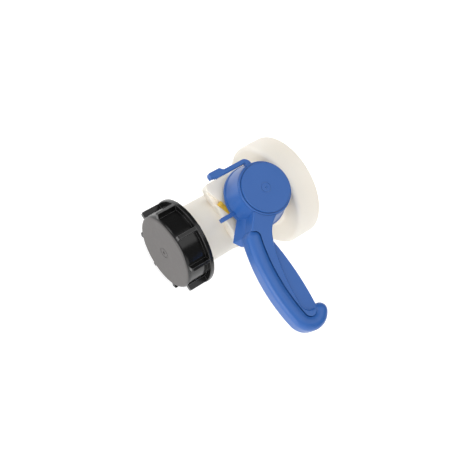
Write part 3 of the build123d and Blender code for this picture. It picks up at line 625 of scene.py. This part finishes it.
def finishes() -> tuple[Finish, ...]:
    """Lists the valve's finishes.

    Returns:
        One finish for each material slot.
    """
    cap_low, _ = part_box("outlet_cap")
    return (
        Finish(
            Slot.NATURAL,
            color=(0.86, 0.822, 0.75),
            roughness=0.42,
            patches=Patches(shade=(0.83, 0.775, 0.67), amount=0.6, size=0.03),
            grain=Grain(size=0.0009, depth=0.000008),
            # Painted shade: hollows near the cap and under the hub are darkened to a deeper cream.
            crevice=Accent(color=(0.64, 0.54, 0.38), width=0.016, amount=0.7),
            glow=Glow(share=0.6, depth=0.006),
        ),
        Finish(
            Slot.BLUE,
            color=(0.018, 0.112, 0.40),
            roughness=0.38,
            patches=Patches(shade=(0.014, 0.095, 0.36)),
            # Painted highlight along the lever's edges.
            edge=Accent(color=(0.06, 0.19, 0.52), width=0.0005, amount=0.8),
            # Painted shade in the lever's crease, seams and latch root.
            crevice=Accent(color=(0.006, 0.045, 0.20), width=0.0012, amount=0.8),
            turning=face_turning("hub_cover", (0.0, 0.0, 1.0)),
            specular=0.6,
        ),
        CapFinish(
            Slot.BLACK,
            color=(0.004, 0.004, 0.004),
            roughness=0.20,
            patches=Patches(shade=(0.008, 0.008, 0.008)),
            grain=Grain(size=0.0005, depth=0.00001),
            # Painted highlight along the cap's rib and rim edges.
            edge=Accent(color=(0.12, 0.12, 0.12), width=0.0009, amount=0.8),
            turning=face_turning("outlet_cap", (0.0, -1.0, 0.0)),
            face_place=cap_low.y,
        ),
        Finish(
            Slot.YELLOW,
            color=(0.86, 0.57, 0.06),
            roughness=0.35,
            patches=Patches(shade=(0.76, 0.42, 0.04), size=0.006),
            # Painted highlight along the peg's edges.
            edge=Accent(color=(0.85, 0.62, 0.15), width=0.0005, amount=0.8),
        ),
        Finish(
            Slot.WHITE,
            color=(0.80, 0.80, 0.78),
            roughness=0.30,
            patches=Patches(shade=(0.72, 0.72, 0.70)),
            glow=Glow(share=0.2),
        ),
        Finish(
            Slot.RUBBER,
            color=(0.018, 0.018, 0.018),
            roughness=0.6,
            patches=Patches(shade=(0.03, 0.03, 0.03)),
            grain=Grain(size=0.0004, depth=0.00003),
        ),
        Finish(
            Slot.GASKET,
            color=(0.62, 0.62, 0.60),
            roughness=0.7,
            patches=Patches(shade=(0.5, 0.5, 0.48)),
            grain=Grain(size=0.0005, depth=0.00006),
        ),
        Finish(
            Slot.STEEL,
            color=(0.60, 0.61, 0.62),
            roughness=0.28,
            patches=Patches(shade=(0.5, 0.51, 0.53)),
            grain=Grain(size=0.0003),
            metallic=1.0,
        ),
    )


@dataclass
class Lamp:
    """A soft lamp: where it hangs from the valve's middle, its sides in metres and its power in watts."""

    name: str
    offset: Point
    sides: tuple[float, float]
    power: float

    def hang(self, aim: Vector) -> None:
        """Adds the lamp, pointing at a place.

        Args:
            aim: what it points at.
        """
        data = bpy.data.lights.new(self.name, "AREA")
        data.shape = "RECTANGLE"
        data.size, data.size_y = self.sides
        data.energy = self.power
        lamp = bpy.data.objects.new(self.name, data)
        lamp.location = aim + Vector(self.offset)
        lamp.rotation_euler = (-Vector(self.offset)).to_track_quat("-Z", "Y").to_euler()
        bpy.context.scene.collection.objects.link(lamp)


@dataclass
class Studio:
    """The plain bright studio and the camera that looks from the photograph's angle."""

    # The picture's side and the lens in pixels, and the sensor's width in millimetres.
    picture_side: float = 470.0
    focal_pixels: float = 775.528
    sensor: float = 36.0
    # Where the camera stands and how its own axes lie, in the valve's frame.
    camera_place: Point = (0.053357, -0.383407, 0.616291)
    camera_right: Point = (0.52873, 0.76931, 0.35862)
    camera_up: Point = (-0.84721, 0.45259, 0.27820)
    camera_back: Point = (0.05171, -0.45092, 0.89106)
    # The floor's half side and its gap under the valve are in metres. The lift whitens it for the camera
    # alone, and the gloss is added to what shiny faces mirror of it.
    floor_half: float = 3.0
    floor_gap: float = 0.0005
    floor_color: Colour = (0.85, 0.85, 0.85)
    floor_roughness: float = 0.9
    floor_lift: float = 0.45
    floor_gloss: float = 0.65
    # The surround's light level at the horizon and overhead.
    horizon_light: float = 0.92
    zenith_light: float = 0.5
    # What shiny faces mirror of the surround: a bright front, a dim back and a dim top. A direction's Y
    # runs from -1 in front to 1 behind, where the front ends and the back starts at these values, and
    # the top is whole from this rise on.
    front_gloss: float = 0.75
    back_gloss: float = 0.12
    front_end: float = -0.5
    back_start: float = 0.3
    zenith_gloss: float = 0.10
    gloss_rise: float = 0.35
    lamps: tuple[Lamp, ...] = (
        Lamp("overhead", offset=(0.0, 0.10, 1.50), sides=(1.0, 2.2), power=7.6),
        Lamp("key", offset=(-0.75, -0.55, 0.70), sides=(0.6, 0.6), power=2.0),
        Lamp("front", offset=(0.15, -1.40, 0.30), sides=(0.8, 0.8), power=7.0),
        Lamp("fill", offset=(1.20, -0.35, 0.40), sides=(1.4, 1.4), power=4.2),
    )

    def build(self, low: Vector, high: Vector) -> None:
        """Builds camera, world, lamps and floor.

        Args:
            low: the valve's lowest corner.
            high: the valve's highest corner.
        """
        scene = bpy.context.scene
        scene.view_settings.view_transform = "Standard"
        self.camera(scene)
        self.world(scene)
        self.floor(scene, low.z - self.floor_gap)
        for lamp in self.lamps:
            lamp.hang((low + high) / 2)

    def camera(self, scene: bpy.types.Scene) -> None:
        """Adds the camera at the photograph's place and angle.

        Args:
            scene: the scene that looks through it.
        """
        data = bpy.data.cameras.new("studio_camera")
        data.sensor_width = self.sensor
        data.lens = self.focal_pixels / self.picture_side * self.sensor
        camera = bpy.data.objects.new("studio_camera", data)
        turn = Matrix((self.camera_right, self.camera_up, self.camera_back)).transposed()
        camera.matrix_world = Matrix.Translation(self.camera_place) @ turn.to_4x4()
        scene.collection.objects.link(camera)
        scene.camera = camera

    def world(self, scene: bpy.types.Scene) -> None:
        """Adds a white surround, calm overhead, that mirrors as a bright front and a dim back.

        Args:
            scene: the scene that it surrounds.
        """
        world = bpy.data.worlds.new("studio_world")
        world.use_nodes = True
        scene.world = world
        graph = Graph(world.node_tree)
        way = graph.add("SeparateXYZ", {"Vector": graph.add("TexCoord").outputs["Generated"]}).outputs
        rise = graph.math("ABSOLUTE", way["Z"])
        light = graph.ramp(rise, 0.0, 1.0, self.horizon_light, self.zenith_light)
        horizon = graph.ramp(way["Y"], self.front_end, self.back_start, self.front_gloss, self.back_gloss)
        gloss = graph.mix_value(graph.ramp(rise, 0.0, self.gloss_rise), horizon, self.zenith_gloss)
        path = graph.add("LightPath").outputs
        level = graph.mix_value(path["Is Glossy Ray"], light, gloss)
        background = world.node_tree.nodes["Background"].inputs
        graph.feed(background["Strength"], graph.math("MAXIMUM", level, path["Is Camera Ray"]))
        graph.feed(background["Color"], WHITE)

    def floor(self, scene: bpy.types.Scene, height: float) -> None:
        """Adds the pale floor, which keeps a soft shadow and otherwise looks white.

        Args:
            scene: the scene.
            height: the floor's height.
        """
        mesh = bpy.data.meshes.new("studio_floor")
        half = self.floor_half
        corners = [(x, y, height) for x, y in ((-half, -half), (half, -half), (half, half), (-half, half))]
        mesh.from_pydata(corners, [], [(0, 1, 2, 3)])
        floor = bpy.data.objects.new("studio_floor", mesh)
        scene.collection.objects.link(floor)
        material = bpy.data.materials.new("studio_floor")
        material.use_nodes = True
        graph = Graph(material.node_tree)
        shader = material.node_tree.nodes["Principled BSDF"].inputs
        path = graph.add("LightPath").outputs
        seen = graph.math("MULTIPLY", path["Is Camera Ray"], self.floor_lift)
        mirrored = graph.math("MULTIPLY", path["Is Glossy Ray"], self.floor_gloss)
        graph.feed(shader["Base Color"], self.floor_color)
        graph.feed(shader["Roughness"], self.floor_roughness)
        graph.feed(shader["Specular IOR Level"], 0.0)
        graph.feed(shader["Emission Color"], WHITE)
        graph.feed(shader["Emission Strength"], graph.math("ADD", seen, mirrored))
        mesh.materials.append(material)
        floor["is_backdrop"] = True


@dataclass
class Wardrobe:
    """Holds the finished materials and knows each node's slot."""

    slots: dict[str, str]
    materials: dict[str, bpy.types.Material]

    def dress(self, piece: bpy.types.Object, slot: str) -> None:
        """Puts one finish on a piece.

        Args:
            piece: the piece.
            slot: the record's slot.
        """
        piece.data.materials.clear()
        piece.data.materials.append(self.materials[slot])
        LOG.info("dressed %s in %s", piece.name, slot)


@dataclass(frozen=True)
class TurnedMark:
    """A small round mark, made by turning a profile of (radius, height) points given in metres."""

    profile: tuple[tuple[float, float], ...]
    closed: bool = False
    segments: int = 40

    def mesh(self, name: str, places: list[tuple[Vector, Vector]]) -> bpy.types.Mesh:
        """Turns the profile about the surface's normal at each place.

        Args:
            name: the mesh's name.
            places: where the marks sit, and the surface's normal there.

        Returns:
            One mesh of all the marks.
        """
        work = bmesh.new()
        for place, normal in places:
            matrix = Matrix.Translation(place) @ normal.to_track_quat("Z", "Y").to_matrix().to_4x4()
            loops = [self.loop(work, matrix, radius, height) for radius, height in self.profile]
            outer_loops = loops[1:] + loops[:1] if self.closed else loops[1:]
            for inner, outer in zip(loops, outer_loops):
                self.band(work, inner, outer)
        bmesh.ops.recalc_face_normals(work, faces=work.faces)
        mesh = bpy.data.meshes.new(name)
        work.to_mesh(mesh)
        work.free()
        mesh.shade_smooth()
        return mesh

    def loop(self, work: bmesh.types.BMesh, matrix: Matrix, radius: float, height: float) -> list[Vertex]:
        """Adds the ring of points that one point of the profile sweeps.

        Args:
            work: the mesh in the making.
            matrix: the mark's place.
            radius: the point's distance from the axis.
            height: the point's height over the surface.

        Returns:
            The ring's points, or the one point that lies on the axis.
        """
        if radius == 0.0:
            return [work.verts.new(matrix @ Vector((0.0, 0.0, height)))]
        angles = [math.tau * step / self.segments for step in range(self.segments)]
        return [
            work.verts.new(matrix @ Vector((radius * math.cos(angle), radius * math.sin(angle), height)))
            for angle in angles
        ]

    def band(self, work: bmesh.types.BMesh, inner: list[Vertex], outer: list[Vertex]) -> None:
        """Joins two rings by faces, or a point and a ring by a fan.

        Args:
            work: the mesh in the making.
            inner: the first ring.
            outer: the next ring.
        """
        for step in range(self.segments):
            after = (step + 1) % self.segments
            if len(inner) == 1:
                work.faces.new((inner[0], outer[step], outer[after]))
            elif len(outer) == 1:
                work.faces.new((inner[step], outer[0], inner[after]))
            else:
                work.faces.new((inner[step], outer[step], outer[after], inner[after]))


# The stub that a broken-off moulding gate leaves, and the fine raised edge round an ejector pin.
GATE_NUB = TurnedMark(
    profile=((0.0, 0.00030), (0.0004, 0.00027), (0.0007, 0.00010), (0.0008, -0.00006), (0.0, -0.00006)),
)
PIN_RING = TurnedMark(
    profile=((0.0024, -0.00004), (0.0025, 0.00012), (0.0029, 0.00012), (0.0030, -0.00004)),
    closed=True,
)


@dataclass
class SubAssembly:
    """Pieces that move as one, with the marks that moulding left on them.

    A mark's place is looked for from a point that lies a search gap clear of its piece.
    """

    body: str
    node_names: tuple[str, ...]
    nodes: dict[str, bpy.types.Object]
    wardrobe: Wardrobe
    search_gap: float = 0.01

    def build(self) -> None:
        """Dresses the nodes and adds the marks."""
        for name in self.node_names:
            self.wardrobe.dress(self.nodes[name], self.wardrobe.slots[name])
        self.add_marks()

    def add_marks(self) -> None:
        """Adds moulding marks. A plain sub-assembly has none."""

    def seat(self, node: str, start: Vector, towards: Vector) -> tuple[Vector, Vector]:
        """Finds a place on a node's surface.

        Args:
            node: the node that carries the mark.
            start: a point clear of the node.
            towards: the direction to look in.

        Returns:
            The place on the surface, and the surface's normal there.
        """
        hit, place, normal, _ = self.nodes[node].ray_cast(start, towards)
        if not hit:
            raise ValueError(f"no surface of {node} lies from {start} towards {towards}")
        return place, normal

    def fix(self, name: str, mesh: bpy.types.Mesh, slot: Slot) -> None:
        """Adds a mark as a piece of its own that rides on the sub-assembly's body.

        Args:
            name: the piece's name.
            mesh: its mesh, in the valve's frame.
            slot: its finish.
        """
        piece = bpy.data.objects.new(name, mesh)
        bpy.context.scene.collection.objects.link(piece)
        self.wardrobe.dress(piece, slot.value)
        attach(piece, self.body)


@dataclass
class LeverSet(SubAssembly):
    """The lever with its cover, screw, spindle and flap."""

    def add_marks(self) -> None:
        """Adds the stub of the moulding gate in the cover's round mark."""
        low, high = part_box("hub_cover")
        middle = (low + high) / 2
        above = Vector((middle.x, middle.y, high.z + self.search_gap))
        place = self.seat("hub_cover", above, Vector((0.0, 0.0, -1.0)))
        self.fix("cover_gate_nub", GATE_NUB.mesh("cover_gate_nub", [place]), Slot.BLUE)


@dataclass
class CapSet(SubAssembly):
    """The screw cap, whose ejector pins stood on a circle inside it."""

    pin_count: int = 6
    pin_circle: float = 0.012

    def add_marks(self) -> None:
        """Adds the stub of the moulding gate outside and the rings of the ejector pins inside."""
        low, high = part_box("outlet_cap")
        middle = (low + high) / 2
        before = Vector((middle.x, low.y - self.search_gap, middle.z))
        place = self.seat("outlet_cap", before, Vector((0.0, 1.0, 0.0)))
        self.fix("cap_gate_nub", GATE_NUB.mesh("cap_gate_nub", [place]), Slot.BLACK)
        places = []
        for pin in range(self.pin_count):
            angle = math.tau * pin / self.pin_count
            aside = Vector((math.cos(angle), 0.0, math.sin(angle)))
            start = middle + self.pin_circle * aside
            places.append(self.seat("outlet_cap", start, Vector((0.0, -1.0, 0.0))))
        self.fix("cap_pin_rings", PIN_RING.mesh("cap_pin_rings", places), Slot.BLACK)


SET_CLASSES: dict[str, type[SubAssembly]] = {"turning_set": LeverSet, "cap": CapSet}


def main() -> None:
    """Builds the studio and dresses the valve."""
    logging.basicConfig(level=logging.INFO, format="%(message)s")
    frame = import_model()
    low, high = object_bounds()
    groups = ShaderGroups()
    made = {finish.slot.value: finish.build(groups) for finish in finishes()}
    slots = {part["node"]: part["material_slot"] for part in frame["record"]["subparts"]}
    wardrobe = Wardrobe(slots, made)
    for body, names in frame["record"]["behaviour"]["bodies"].items():
        SET_CLASSES.get(body, SubAssembly)(body, tuple(names), frame["nodes"], wardrobe).build()
    Studio().build(low, high)


if __name__ == "__main__":
    main()
